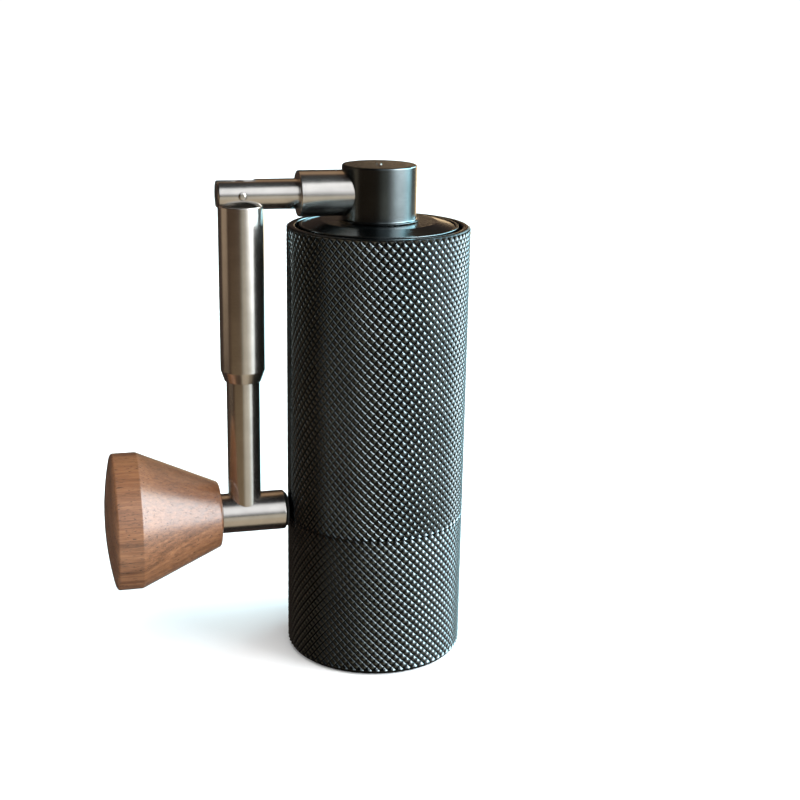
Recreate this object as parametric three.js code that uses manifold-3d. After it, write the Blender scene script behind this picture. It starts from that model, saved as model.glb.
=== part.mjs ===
// Compact hand-crank coffee grinder with a folding crank.
// Units are millimetres, +Z up. The origin is the centre of the flat base of the catch cup,
// on the axis of the drive shaft. The crank points along -X and is folded down beside the body.
import * as THREE from "three";
import { mergeVertices } from "three/addons/utils/BufferGeometryUtils.js";
import Module from "manifold-3d";

const wasm = await Module();
wasm.setup();

// ---------------------------------------------------------------- driving dimensions
const BODY_R = 23.0; // outside of the knurled body and catch cup
const BODY_TOP = 112.3; // rim of the body
const BODY_BOTTOM = 36.9; // lower edge of the body
const CUP_TOP = 36.6; // upper edge of the catch cup, 0.3 below the body
const BORE_R = 20.9; // inside of the body tube
const WAIST_R = 19.9; // inside of the middle stretch that both carriers bear on
const WAIST_Z = [62.0, 84.0];
const CUP_BORE_R = 20.9;
const CUP_FLOOR = 2.4;
const HOUSING_R = 20.75; // burr housing where it sits in the body
const HOUSING_Z = [29.6, 61.7];
const NECK_CREST_R = 20.6; // thread on the neck that carries the catch cup
const NECK_ROOT_R = 20.0;
const NECK_PITCH = 2.0;
const NECK_TURNS = 2;
const BURR_SEAT_R = 18.7;
const BOSS_R = 8.7; // bearing bosses
const BEARING_R = 7.0; // outside of both ball bearings
const BEARING_BORE_R = 3.6;
const LOWER_BEARING_Z = [56.5, 61.0];
const UPPER_BEARING_Z = [84.9, 89.4];
const SHAFT_R = 3.5;
const SHAFT_SHOULDER_R = 4.2;
const SHAFT_TOP = 115.2;
const HEX_AF = 6.1; // across the flats of the shaft's drive end
const SOCKET_AF = 6.6;
const LID_R = 19.9;
const LID_TOP = 112.5;
const PLATEAU_R = 14.5;
const PLATEAU_Z = 113.5;
const HUB_R = 9.3;
const HUB_FLARE_R = 10.05; // the hub's foot flares out to a thin edge over the lid
const HUB_Z = [113.8, 127.3];
const SPIGOT_R = 6.5; // lower part of the hub, through the lid
const SPIGOT_BOTTOM = 106.5;
const ARM_Z = 120.45; // height of the crank's horizontal rod
const ROD_R = 3.7;
const COLLAR_R = 5.65;
const COLLAR_END = 20.55;
const PIVOT = 34.5; // distance of the folding pivot from the shaft axis
const ROD_END = 40.4; // flat end of the horizontal rod, beyond the pivot
const FORK_SLOT = 3.3;
const TONGUE = 3.0;
const FORK_BOTTOM = 118.2; // underside of the fork over the sleeve's rim, 0.35 above it
const FORK_BOSS_R = 4.0; // the round rest of the fork's underside, which stands in the sleeve's mouth
const ARM_R = 4.19;
const SLEEVE_R = 5.58;
const SLEEVE_BORE_R = 4.32;
const SLEEVE_MOUTH_R = 4.5;
const SLEEVE_Z = [74.0, 117.85];
const CROSS_Z = 38.64; // height of the cross rod that carries the knob
const CROSS_R = 5.07;
const CROSS_T = [24.2, 40.85]; // its two ends, as distances from the shaft axis
const KNOB_FACE = 41.15;
const KNOB_R = 17.25;
const KNOB_APEX = 70.0;
const N = 32; // sides of the large round parts
const M = 16; // sides of the small round parts inside
const V = 24; // sides of the rods and sleeves of the crank

// ---------------------------------------------------------------- materials
const mat = (color, roughness, metalness) =>
  new THREE.MeshStandardMaterial({ color, roughness, metalness });
const anodised = mat(0x2b3336, 0.42, 0.85);
const anodisedSmooth = mat(0x30393c, 0.34, 0.9);
const steel = mat(0xb9b4ab, 0.26, 1.0);
const burrSteel = mat(0x9a9a98, 0.35, 1.0);
const springSteel = mat(0x8d8e90, 0.3, 1.0);
const aluminium = mat(0xa7a9aa, 0.4, 1.0);
const walnut = mat(0x8a5a3c, 0.45, 0.0);
const brass = mat(0xb08d4c, 0.3, 1.0);
const rubber = mat(0x161616, 0.8, 0.0);
const nylon = mat(0x1f2122, 0.5, 0.0);

// ---------------------------------------------------------------- solids
function toSolid(geometry) {
  const g = (geometry.index ? geometry.toNonIndexed() : geometry.clone());
  for (const k of Object.keys(g.attributes)) if (k !== "position") g.deleteAttribute(k);
  const m = mergeVertices(g, 1e-5);
  const ix = m.index.array;
  const tri = [];
  for (let i = 0; i < ix.length; i += 3) {
    const [a, b, c] = [ix[i], ix[i + 1], ix[i + 2]];
    if (a !== b && b !== c && a !== c) tri.push(a, b, c);
  }
  const p = m.attributes.position.array;
  let volume = 0;
  for (let i = 0; i < tri.length; i += 3) {
    const [a, b, c] = [tri[i] * 3, tri[i + 1] * 3, tri[i + 2] * 3];
    volume +=
      p[a] * (p[b + 1] * p[c + 2] - p[b + 2] * p[c + 1]) -
      p[a + 1] * (p[b] * p[c + 2] - p[b + 2] * p[c]) +
      p[a + 2] * (p[b] * p[c + 1] - p[b + 1] * p[c]);
  }
  if (volume < 0)
    for (let i = 0; i < tri.length; i += 3) [tri[i + 1], tri[i + 2]] = [tri[i + 2], tri[i + 1]];
  return new wasm.Manifold(
    new wasm.Mesh({
      numProp: 3,
      vertProperties: new Float32Array(p),
      triVerts: new Uint32Array(tri),
    }),
  );
}

function toGeometry(solid) {
  const m = solid.getMesh();
  const v = new Float32Array(m.numVert * 3);
  for (let i = 0; i < m.numVert; i++)
    v.set(m.vertProperties.subarray(i * m.numProp, i * m.numProp + 3), i * 3);
  const g = new THREE.BufferGeometry();
  g.setAttribute("position", new THREE.BufferAttribute(v, 3));
  g.setIndex(new THREE.BufferAttribute(new Uint32Array(m.triVerts), 1));
  g.computeVertexNormals();
  return g;
}

// A closed [radius, z] outline revolved about Z.
function turned(outline, sides = N) {
  const pts = outline.map(([r, z]) => new THREE.Vector2(r, z));
  const onAxis = outline[0][0] === 0 && outline[outline.length - 1][0] === 0;
  if (!onAxis) pts.push(pts[0].clone());
  const g = new THREE.LatheGeometry(pts, sides);
  g.rotateX(Math.PI / 2);
  return toSolid(g);
}

const cylinder = (r, z0, z1, sides = M) =>
  turned([[0, z0], [r, z0], [r, z1], [0, z1]], sides);
const tube = (r0, r1, z0, z1, sides = M) =>
  turned([[r0, z0], [r1, z0], [r1, z1], [r0, z1]], sides);

function block(x0, x1, y0, y1, z0, z1) {
  const g = new THREE.BoxGeometry(x1 - x0, y1 - y0, z1 - z0);
  g.translate((x0 + x1) / 2, (y0 + y1) / 2, (z0 + z1) / 2);
  return toSolid(g);
}

// A prism with a regular six-sided section.
function hexagon(acrossFlats, z0, z1) {
  const s = new THREE.Shape();
  for (let i = 0; i < 6; i++) {
    const a = (i * Math.PI) / 3;
    const r = acrossFlats / Math.sqrt(3);
    if (i) s.lineTo(r * Math.cos(a), r * Math.sin(a));
    else s.moveTo(r * Math.cos(a), r * Math.sin(a));
  }
  s.closePath();
  const g = new THREE.ExtrudeGeometry(s, { depth: z1 - z0, bevelEnabled: false });
  g.translate(0, 0, z0);
  return toSolid(g);
}

const ball = (r, x, y, z, w = 10, h = 8) => {
  const g = new THREE.SphereGeometry(r, w, h);
  g.translate(x, y, z);
  return toSolid(g);
};

function moved(solid, { rx = 0, ry = 0, rz = 0, x = 0, y = 0, z = 0 }) {
  const g = toGeometry(solid);
  g.applyMatrix4(
    new THREE.Matrix4().compose(
      new THREE.Vector3(x, y, z),
      new THREE.Quaternion().setFromEuler(new THREE.Euler(rx, ry, rz)),
      new THREE.Vector3(1, 1, 1),
    ),
  );
  return toSolid(g);
}

const HALF_PI = Math.PI / 2;
// Points a solid that was modelled along +Z outwards along -X, at a given height.
const outward = (solid, z) => moved(solid, { ry: -HALF_PI, z });

// A ring with a round section.
const ring = (R, r, z, sides = N, section = 5) => {
  const o = [];
  for (let i = 0; i < section; i++) {
    const a = (i * 2 * Math.PI) / section;
    o.push([R + r * Math.cos(a), z + r * Math.sin(a)]);
  }
  return turned(o, sides);
};

// A snap ring: a flat ring with a gap on the +Y side.
const snapRing = (r0, r1, z0, z1, gap, sides = M) =>
  tube(r0, r1, z0, z1, sides).subtract(block(-gap / 2, gap / 2, 0, r1 + 2, z0 - 1, z1 + 1));

// A compression spring with flat closed coils at both ends.
class CoilPath extends THREE.Curve {
  // the closed end coils rise by just over a wire's thickness, so that the wire never meets itself
  constructor(r, z0, z1, turns, wire) {
    super();
    Object.assign(this, { r, z0, z1, turns, wire });
  }
  getPoint(t, target = new THREE.Vector3()) {
    const n = t * this.turns;
    const end = 1.0;
    const step = this.wire * 1.15;
    let z;
    if (n < end) z = this.z0 + step * n;
    else if (n > this.turns - end) z = this.z1 - step * (this.turns - n);
    else
      z =
        this.z0 + step * end +
        ((this.z1 - this.z0 - 2 * step * end) * (n - end)) / (this.turns - 2 * end);
    const a = n * 2 * Math.PI;
    return target.set(this.r * Math.cos(a), this.r * Math.sin(a), z);
  }
}
function coil(r, wireR, z0, z1, turns, stepsPerTurn, sides) {
  const s = new THREE.Shape();
  for (let i = 0; i < sides; i++) {
    const a = (i * 2 * Math.PI) / sides;
    if (i) s.lineTo(wireR * Math.cos(a), wireR * Math.sin(a));
    else s.moveTo(wireR * Math.cos(a), wireR * Math.sin(a));
  }
  s.closePath();
  const path = new CoilPath(r, z0 + wireR, z1 - wireR, turns, 2 * wireR);
  return toSolid(
    new THREE.ExtrudeGeometry(s, {
      steps: Math.round(stepsPerTurn * turns),
      extrudePath: path,
      bevelEnabled: false,
    }),
  );
}

// A cone with teeth: rows of [z, crest radius, root radius, twist], closed at both ends by flat faces.
// The crests and roots alternate round the axis; with inside = true it is a tooth-shaped core to cut from a ring.
function toothed(rows, teeth) {
  const per = 3; // points for each tooth
  const count = teeth * per;
  const position = [];
  const index = [];
  rows.forEach(([z, crest, root, twist]) => {
    for (let i = 0; i < count; i++) {
      const a = (i / count) * 2 * Math.PI + twist;
      const r = i % per === 0 ? crest : i % per === 1 ? crest * 0.4 + root * 0.6 : root;
      position.push(r * Math.cos(a), r * Math.sin(a), z);
    }
  });
  const c0 = position.length / 3;
  position.push(0, 0, rows[0][0]);
  position.push(0, 0, rows[rows.length - 1][0]);
  for (let k = 0; k + 1 < rows.length; k++)
    for (let i = 0; i < count; i++) {
      const a = k * count + i;
      const b = k * count + ((i + 1) % count);
      const c = a + count;
      const d = b + count;
      index.push(a, b, d, a, d, c);
    }
  const last = (rows.length - 1) * count;
  for (let i = 0; i < count; i++) {
    index.push(c0, (i + 1) % count, i);
    index.push(c0 + 1, last + i, last + ((i + 1) % count));
  }
  const g = new THREE.BufferGeometry();
  g.setAttribute("position", new THREE.Float32BufferAttribute(position, 3));
  g.setIndex(index);
  return toSolid(g);
}

const all = (...solids) => solids.reduce((a, b) => a.add(b));

// ---------------------------------------------------------------- the scene graph
const grinder = new THREE.Group();
const groups = {};
for (const name of ["body", "catch_cup", "shaft", "burr", "dial", "lid", "crank", "arm", "sleeve", "knob"]) {
  groups[name] = new THREE.Group();
  grinder.add(groups[name]);
}
function part(group, name, solid, material) {
  const mesh = new THREE.Mesh(toGeometry(solid), material);
  mesh.name = name;
  groups[group].add(mesh);
  return mesh;
}

// ---------------------------------------------------------------- body
part(
  "body",
  "body_shell",
  turned([
    [BODY_R, BODY_BOTTOM],
    [BODY_R, BODY_TOP - 0.3],
    [BODY_R - 0.4, BODY_TOP],
    [BORE_R, BODY_TOP],
    [BORE_R, 91.4],
    [21.6, 91.4],
    [21.6, 90.2],
    [BORE_R, 90.2],
    [BORE_R, WAIST_Z[1]],
    [WAIST_R, WAIST_Z[1]],
    [WAIST_R, WAIST_Z[0]],
    [BORE_R, WAIST_Z[0]],
    [BORE_R, BODY_BOTTOM],
  ]),
  anodised,
);

// Burr housing: ring with a threaded neck below, and three spokes that carry the lower bearing.
const neck = [];
for (let k = 0; k < NECK_TURNS; k++) {
  const z = HOUSING_Z[0] + 0.5 + k * NECK_PITCH;
  neck.push([NECK_ROOT_R, z], [NECK_CREST_R, z + NECK_PITCH / 2]);
}
const housingRing = turned([
  [19.1, HOUSING_Z[0]],
  ...neck,
  [NECK_ROOT_R, 34.9],
  [19.55, 34.9],
  [19.55, 36.2],
  [NECK_ROOT_R, 36.2],
  [HOUSING_R, 37.2],
  [HOUSING_R, HOUSING_Z[1]],
  [19.6, HOUSING_Z[1]],
  [19.6, 58.0],
  [17.2, 52.1],
  [BURR_SEAT_R, 52.1],
  [BURR_SEAT_R, 38.0],
]);
function spokes(z0, z1, rIn, rOut, width) {
  const one = block(-width / 2, width / 2, rIn, rOut, z0, z1);
  return all(
    one,
    moved(one, { rz: (2 * Math.PI) / 3 }),
    moved(one, { rz: (4 * Math.PI) / 3 }),
  );
}
const boss = (z0, z1) =>
  turned(
    [
      [6.35, z0],
      [BOSS_R, z0],
      [BOSS_R, z1],
      [BEARING_R + 0.1, z1],
      [BEARING_R + 0.1, z0 + 0.6],
      [6.35, z0 + 0.6],
    ],
    M,
  );
part(
  "body",
  "burr_housing",
  all(
    housingRing,
    boss(LOWER_BEARING_Z[0] - 0.75, LOWER_BEARING_Z[1] + 0.3),
    spokes(LOWER_BEARING_Z[0] - 0.5, LOWER_BEARING_Z[1], BOSS_R - 0.8, 20.2, 4.4),
  ),
  aluminium,
);

part(
  "body",
  "burr_retaining_ring",
  tube(16.9, 18.6, 35.8, 37.9, N)
    .subtract(block(-19, 19, -1.4, 1.4, 35.0, 36.6)),
  aluminium,
);

// Outer burr: steel ring with a toothed cone inside, wider at the bottom, flared where the beans enter.
const TEETH = 12;
const outerCore = toothed(
  [
    [37.5, 15.55, 16.35, 0.0],
    [41.0, 15.1, 15.9, 0.1],
    [45.5, 13.6, 15.2, 0.28],
    [49.0, 13.4, 16.0, 0.45],
    [52.5, 15.2, 16.6, 0.62],
  ],
  TEETH,
);
part("body", "outer_burr", tube(10, BURR_SEAT_R - 0.12, 38.1, 51.9, N).subtract(outerCore), burrSteel);

function bearing(prefix, [z0, z1]) {
  part("body", prefix + "_bearing_outer_race", tube(6.12, BEARING_R, z0, z1, M), steel);
  part("shaft", prefix + "_bearing_inner_race", tube(BEARING_BORE_R, 4.6, z0, z1, M), steel);
  const zm = (z0 + z1) / 2;
  let cage = tube(5.12, 5.62, zm - 0.3, zm + 0.3, M);
  for (let i = 0; i < 8; i++) {
    const a = (i * Math.PI) / 4;
    cage = cage.add(ball(0.68, 5.35 * Math.cos(a), 5.35 * Math.sin(a), zm, 6, 4));
  }
  part("body", prefix + "_bearing_balls_and_cage", cage, steel);
}
bearing("lower", LOWER_BEARING_Z);
bearing("upper", UPPER_BEARING_Z);

// Upper bearing carrier, dropped into the body from above onto the waist and held by a snap ring.
part(
  "body",
  "upper_bearing_bridge",
  all(
    turned([[18.3, 84.2], [20.75, 84.2], [20.75, 90.0], [19.0, 90.0], [18.3, 89.0]]),
    boss(UPPER_BEARING_Z[0] - 0.7, UPPER_BEARING_Z[1] + 0.2),
    spokes(UPPER_BEARING_Z[0] - 0.4, UPPER_BEARING_Z[1] - 0.6, BOSS_R - 0.8, 19.2, 4.0),
  ),
  nylon,
);
part("body", "bridge_snap_ring", snapRing(19.4, 21.4, 90.35, 91.2, 9, N), springSteel);
part("body", "cup_seal_ring", ring(20.15, 0.52, 35.55), rubber);

// ---------------------------------------------------------------- catch cup
const cupThread = [];
for (let k = NECK_TURNS - 1; k >= 0; k--) {
  const z = HOUSING_Z[0] + 0.5 + k * NECK_PITCH;
  cupThread.push([21.3, z + NECK_PITCH], [CUP_BORE_R, z + NECK_PITCH / 2]);
}
part(
  "catch_cup",
  "catch_cup",
  turned([
    [0, 0],
    [BODY_R - 0.9, 0],
    [BODY_R, 0.8],
    [BODY_R, CUP_TOP],
    [CUP_BORE_R, CUP_TOP],
    [CUP_BORE_R, 35.2],
    ...cupThread,
    [21.3, 29.4],
    [20.9, 28.9],
    [20.9, CUP_FLOOR + 2.4],
    [18.8, CUP_FLOOR],
    [0, CUP_FLOOR],
  ]),
  anodised,
);

// ---------------------------------------------------------------- shaft
const flats = (z0, z1) =>
  all(block(-6, 6, 3.0, 6, z0, z1), block(-6, 6, -6, -3.0, z0, z1));
part(
  "shaft",
  "drive_shaft",
  turned(
    [
      [0, 26.2],
      [2.9, 26.2],
      [2.9, 27.4],
      [2.4, 27.4],
      [2.4, 28.3],
      [2.9, 28.3],
      [2.9, 37.6],
      [SHAFT_R, 37.9],
      [SHAFT_R, 55.2],
      [3.0, 55.2],
      [3.0, 56.1],
      [SHAFT_R, 56.1],
      [SHAFT_R, 61.1],
      [SHAFT_SHOULDER_R, 61.1],
      [SHAFT_SHOULDER_R, 84.8],
      [SHAFT_R, 84.8],
      [SHAFT_R, 89.5],
      [3.0, 89.5],
      [3.0, 90.4],
      [SHAFT_R, 90.4],
      [SHAFT_R, 104.2],
      [0, 104.2],
    ],
    M,
  )
    .subtract(flats(36, 55.0))
    .add(hexagon(HEX_AF, 104.0, SHAFT_TOP)),
  steel,
);
part("shaft", "upper_circlip", snapRing(3.1, 5.0, 89.6, 90.25, 3.2), springSteel);
part("shaft", "lower_circlip", snapRing(3.1, 5.0, 55.35, 56.0, 3.2), springSteel);
part("shaft", "spring_seat_washer", tube(3.7, 5.7, 54.6, 55.15), steel);
part("shaft", "burr_spring", coil(4.75, 0.42, 48.35, 54.5, 4, 10, 6), springSteel);
part("shaft", "shaft_end_clip", snapRing(2.5, 4.6, 27.55, 28.15, 2.6), springSteel);

// ---------------------------------------------------------------- inner burr and adjustment dial
const innerCone = toothed(
  [
    [37.6, 14.4, 14.0, 0.0],
    [38.4, 14.9, 14.1, -0.02],
    [41.0, 14.55, 13.7, -0.12],
    [45.0, 12.9, 10.9, -0.34],
    [49.0, 11.4, 8.5, -0.62],
    [52.5, 9.3, 7.6, -0.92],
    [53.8, 8.2, 7.4, -1.0],
  ],
  TEETH,
);
const burrBore = cylinder(3.7, 36, 60).subtract(
  all(block(-6, 6, 3.2, 6, 36, 60), block(-6, 6, -6, -3.2, 36, 60)),
);
part(
  "burr",
  "inner_burr",
  innerCone.subtract(burrBore).subtract(cylinder(6.1, 48.1, 60)),
  burrSteel,
);

// Dial: a lobed grip ring with a small blind hole in its top for the click ball and its spring.
const DIAL_Z = [30.6, 37.2];
let dial = turned([
  [3.15, DIAL_Z[0]],
  [11.6, DIAL_Z[0]],
  [12.4, DIAL_Z[0] + 0.8],
  [12.4, 35.6],
  [11.8, 36.2],
  [9.0, 36.2],
  [9.0, DIAL_Z[1]],
  [3.15, DIAL_Z[1]],
]);
for (let i = 0; i < 12; i++) {
  const a = (i * Math.PI) / 6;
  dial = dial.subtract(
    moved(cylinder(1.25, 29, 36.9, 6), { x: 12.9 * Math.cos(a), y: 12.9 * Math.sin(a) }),
  );
}
part("dial", "adjustment_dial", dial.subtract(moved(cylinder(1.3, 33.0, 40, 12), { x: 6.4 })), nylon);
part("dial", "click_ball", ball(1.0, 6.4, 0, 36.35, 10, 8), steel);
part("dial", "click_spring", moved(coil(0.8, 0.2, 33.15, 35.2, 3, 8, 5), { x: 6.4 }), springSteel);

// ---------------------------------------------------------------- lid
part(
  "lid",
  "lid",
  turned([
    [7.65, PLATEAU_Z],
    [PLATEAU_R, PLATEAU_Z],
    [19.1, 112.3],
    [19.15, 111.9],
    [19.25, LID_TOP],
    [LID_R, LID_TOP],
    [LID_R, 110.1],
    [19.1, 110.1],
    [19.1, 108.1],
    [LID_R, 108.1],
    [LID_R, 105.8],
    [18.2, 105.8],
    [18.2, 110.4],
    [13.9, 112.2],
    [10.2, 112.2],
    [10.2, 110.6],
    [7.65, 110.6],
  ]),
  anodisedSmooth,
);
part("lid", "lid_seal_ring", ring(19.95, 0.72, 109.1), rubber);
part(
  "lid",
  "lid_bush",
  turned([[6.68, 109.7], [9.4, 109.7], [9.4, 110.4], [7.5, 110.4], [7.5, 113.45], [6.68, 113.45]], M),
  nylon,
);

// ---------------------------------------------------------------- crank hub and its rod
const hubBlank = turned(
  [
    [0, HUB_Z[1]],
    [HUB_R - 0.4, HUB_Z[1]],
    [HUB_R, HUB_Z[1] - 0.4],
    [HUB_R, HUB_Z[0] + 0.9],
    [HUB_R + 0.2, HUB_Z[0] + 0.4],
    [HUB_FLARE_R, HUB_Z[0] + 0.15],
    [HUB_FLARE_R, HUB_Z[0]],
    [SPIGOT_R, HUB_Z[0]],
    [SPIGOT_R, 109.0],
    [5.8, 109.0],
    [5.8, 107.9],
    [SPIGOT_R, 107.9],
    [SPIGOT_R - 0.4, SPIGOT_BOTTOM],
    [0, SPIGOT_BOTTOM],
  ],
  N,
);
part(
  "crank",
  "crank_hub",
  hubBlank
    .subtract(hexagon(SOCKET_AF, SPIGOT_BOTTOM - 1, 115.6))
    .subtract(outward(cylinder(ROD_R + 0.12, -2.6, 12), ARM_Z))
    .subtract(cylinder(0.72, 115.0, HUB_Z[1] + 1, 16)),
  anodisedSmooth,
);
part("crank", "hub_circlip", snapRing(6.02, 8.4, 108.1, 108.8, 6), springSteel);
part(
  "crank",
  "crank_collar",
  outward(
    turned(
      [
        [ROD_R + 0.12, 5],
        [COLLAR_R, 5],
        [COLLAR_R, COLLAR_END - 0.35],
        [COLLAR_R - 0.35, COLLAR_END],
        [ROD_R + 0.3, COLLAR_END],
        [ROD_R + 0.12, COLLAR_END - 0.2],
      ],
      V,
    ),
    ARM_Z,
  ).subtract(cylinder(HUB_R + 0.12, 100, 140, N)),
  steel,
);
part(
  "crank",
  "crank_rod",
  outward(
    turned(
      [
        [0, -2.3],
        [ROD_R, -2.3],
        [ROD_R, ROD_END - 0.5],
        [ROD_R - 0.5, ROD_END],
        [0, ROD_END],
      ],
      V,
    ),
    ARM_Z,
  )
    .subtract(block(-60, -(PIVOT - 3.5), -FORK_SLOT / 2, FORK_SLOT / 2, 110, 130))
    .subtract(
      block(-60, -PIVOT, -10, 10, 110, FORK_BOTTOM)
        .add(moved(cylinder(SLEEVE_R + 0.32, 110, FORK_BOTTOM, V), { x: -PIVOT }))
        .subtract(moved(cylinder(FORK_BOSS_R, 109, 130, V), { x: -PIVOT })),
    )
    .subtract(moved(cylinder(1.1, -10, 10, 20), { rx: HALF_PI, x: -PIVOT, z: ARM_Z }))
    .subtract(cylinder(0.72, 110, 130, 16)),
  steel,
);
part("crank", "rod_lock_pin", cylinder(0.6, 117.2, HUB_Z[1] + 0.12, 16), steel);
part(
  "crank",
  "fold_pivot_pin",
  moved(cylinder(0.98, -3.7, 3.7, 20), { rx: HALF_PI, x: -PIVOT, z: ARM_Z }),
  steel,
);

// ---------------------------------------------------------------- folding arm, modelled hanging down
const shoulder = ARM_Z - 6.8;
const eye = moved(cylinder(3.3, -TONGUE / 2, TONGUE / 2, M), { rx: HALF_PI, z: ARM_Z });
part(
  "arm",
  "arm_rod",
  moved(
    all(
      turned([[0, 30], [ARM_R, 30], [ARM_R, shoulder - 0.5], [ARM_R - 0.5, shoulder], [0, shoulder]], V),
      eye,
      block(-3.3, 3.3, -TONGUE / 2, TONGUE / 2, shoulder - 2, ARM_Z),
    ).subtract(moved(cylinder(1.1, -10, 10, 20), { rx: HALF_PI, z: ARM_Z })),
    { x: -PIVOT },
  ).subtract(outward(cylinder(CROSS_R + 0.12, 10, 60, V), CROSS_Z)).subtract(block(-50, -20, -10, 10, 20, CROSS_Z)),
  steel,
);
part(
  "arm",
  "cross_rod",
  outward(
    turned(
      [
        [0, CROSS_T[0] + 3],
        [2.1, CROSS_T[0] + 3],
        [2.1, CROSS_T[0]],
        [CROSS_R - 0.5, CROSS_T[0]],
        [CROSS_R, CROSS_T[0] + 0.5],
        [CROSS_R, CROSS_T[1] - 0.2],
        [CROSS_R - 0.2, CROSS_T[1]],
        [2.6, CROSS_T[1]],
        [2.6, CROSS_T[1] - 6],
        [0, CROSS_T[1] - 6],
      ],
      V,
    ),
    CROSS_Z,
  ),
  steel,
);
part(
  "arm",
  "bumper_pad",
  outward(
    turned(
      [
        [0, 23.4],
        [3.2, 23.4],
        [4.2, 23.65],
        [4.45, 24.05],
        [2.0, 24.05],
        [2.0, 26.9],
        [0, 26.9],
      ],
      M,
    ),
    CROSS_Z,
  ),
  rubber,
);
part(
  "arm",
  "knob_spindle",
  outward(
    turned(
      [
        [0, 35.1],
        [2.1, 35.1],
        [2.45, 35.5],
        [2.45, 55.7],
        [2.0, 55.7],
        [2.0, 56.6],
        [2.45, 56.6],
        [2.45, 57.8],
        [2.1, 58.2],
        [0, 58.2],
      ],
      M,
    ),
    CROSS_Z,
  ),
  steel,
);
part("arm", "spindle_clip", outward(snapRing(2.1, 4.0, 55.85, 56.45, 2.4), CROSS_Z), springSteel);
part("arm", "knob_thrust_washer", outward(tube(2.6, 4.7, 41.0, 41.6), CROSS_Z), brass);

// ---------------------------------------------------------------- locking sleeve
part(
  "sleeve",
  "locking_sleeve",
  moved(
    turned(
      [
        [SLEEVE_BORE_R, SLEEVE_Z[0]],
        [4.62, SLEEVE_Z[0]],
        [SLEEVE_R, SLEEVE_Z[0] + 2.8],
        [SLEEVE_R, SLEEVE_Z[1] - 0.25],
        [SLEEVE_R - 0.25, SLEEVE_Z[1]],
        [SLEEVE_MOUTH_R, SLEEVE_Z[1]],
        [SLEEVE_BORE_R, SLEEVE_Z[1] - 0.3],
        [SLEEVE_BORE_R, 81.0],
        [4.98, 81.0],
        [4.98, 79.8],
        [SLEEVE_BORE_R, 79.8],
      ],
      V,
    ),
    { x: -PIVOT },
  ),
  steel,
);
part("sleeve", "sleeve_friction_ring", moved(ring(4.6, 0.33, 80.4, V), { x: -PIVOT }), rubber);

// ---------------------------------------------------------------- knob
const dome = [];
for (let i = 0; i <= 4; i++) {
  const r = (16.0 * i) / 4;
  dome.push([r, KNOB_APEX - (72 - Math.sqrt(72 * 72 - r * r))]);
}
part(
  "knob",
  "knob",
  outward(
    turned(
      [
        ...dome,
        [16.75, 67.75],
        [KNOB_R, 66.9],
        [KNOB_R, 61.6],
        [8.75, 42.4],
        [8.45, 41.7],
        [7.7, KNOB_FACE],
        [5.0, KNOB_FACE],
        [5.0, 41.8],
        [4.5, 41.8],
        [4.5, 59.0],
        [0, 59.0],
      ],
      N,
    ),
    CROSS_Z,
  ),
  walnut,
);
part("knob", "knob_bush", outward(tube(2.6, 4.4, 41.9, 55.6), CROSS_Z), brass);

export default grinder;
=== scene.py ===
import math

import bmesh
import bpy
from mathutils import Matrix, Vector


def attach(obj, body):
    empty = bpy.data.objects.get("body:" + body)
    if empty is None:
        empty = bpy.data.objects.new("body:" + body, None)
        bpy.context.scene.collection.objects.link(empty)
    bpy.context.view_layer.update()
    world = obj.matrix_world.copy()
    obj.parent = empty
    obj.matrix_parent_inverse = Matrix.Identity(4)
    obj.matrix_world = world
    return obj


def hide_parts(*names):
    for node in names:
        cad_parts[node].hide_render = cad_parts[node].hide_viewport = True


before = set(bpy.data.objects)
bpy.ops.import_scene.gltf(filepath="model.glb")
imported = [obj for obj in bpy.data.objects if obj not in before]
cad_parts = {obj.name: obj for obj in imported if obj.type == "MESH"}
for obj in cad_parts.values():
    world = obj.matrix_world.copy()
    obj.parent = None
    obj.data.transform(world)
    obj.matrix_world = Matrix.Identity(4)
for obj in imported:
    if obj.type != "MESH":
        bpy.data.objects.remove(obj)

MM = 0.001
TAU = 2 * math.pi
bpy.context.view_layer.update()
scene = bpy.context.scene

# ------------------------------------------------------------------ camera
cam_data = bpy.data.cameras.new("camera")
cam_data.sensor_width = 36.0
cam_data.lens = 62.08
cam_data.clip_start, cam_data.clip_end = 0.01, 50.0
camera = bpy.data.objects.new("camera", cam_data)
scene.collection.objects.link(camera)
cx = Vector((0.96694, -0.25439, 0.01798)).normalized()
cz = Vector((-0.2489, -0.92602, 0.2838)).normalized()
cy = cz.cross(cx).normalized()
cx = cy.cross(cz).normalized()
rot = Matrix((cx, cy, cz)).transposed().to_4x4()
camera.matrix_world = Matrix.Translation(Vector((-0.082849, -0.331809, 0.168064))) @ rot
scene.camera = camera

# ------------------------------------------------------------------ dimensions, in millimetres, as in the CAD
BODY_R, BODY_TOP, BODY_BOTTOM, CUP_TOP = 23.0, 112.3, 36.9, 36.6
BORE_R, WAIST_R, WAIST_Z = 20.9, 19.9, (62.0, 84.0)
HOUSING_R, HOUSING_Z = 20.75, (29.6, 61.7)
BURR_SEAT_R, BOSS_R, BEARING_R = 18.7, 8.7, 7.0
LOWER_BEARING_Z, UPPER_BEARING_Z = (56.5, 61.0), (84.9, 89.4)
SHAFT_R, SHOULDER_R, SHAFT_TOP, HEX_AF, SOCKET_AF = 3.5, 4.2, 115.2, 6.1, 6.6
LID_R, LID_TOP, PLATEAU_R, PLATEAU_Z = 19.9, 112.5, 14.5, 113.5
HUB_R, HUB_FLARE_R, HUB_Z, SPIGOT_R, SPIGOT_BOTTOM = 9.3, 10.05, (113.8, 127.3), 6.5, 106.5
ARM_Z, ROD_R, COLLAR_R, COLLAR_END, PIVOT = 120.45, 3.7, 5.65, 20.55, 34.5
ROD_END, FORK_SLOT, TONGUE, FORK_BOTTOM, FORK_BOSS_R = 40.4, 3.3, 3.0, 118.2, 4.0
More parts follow.
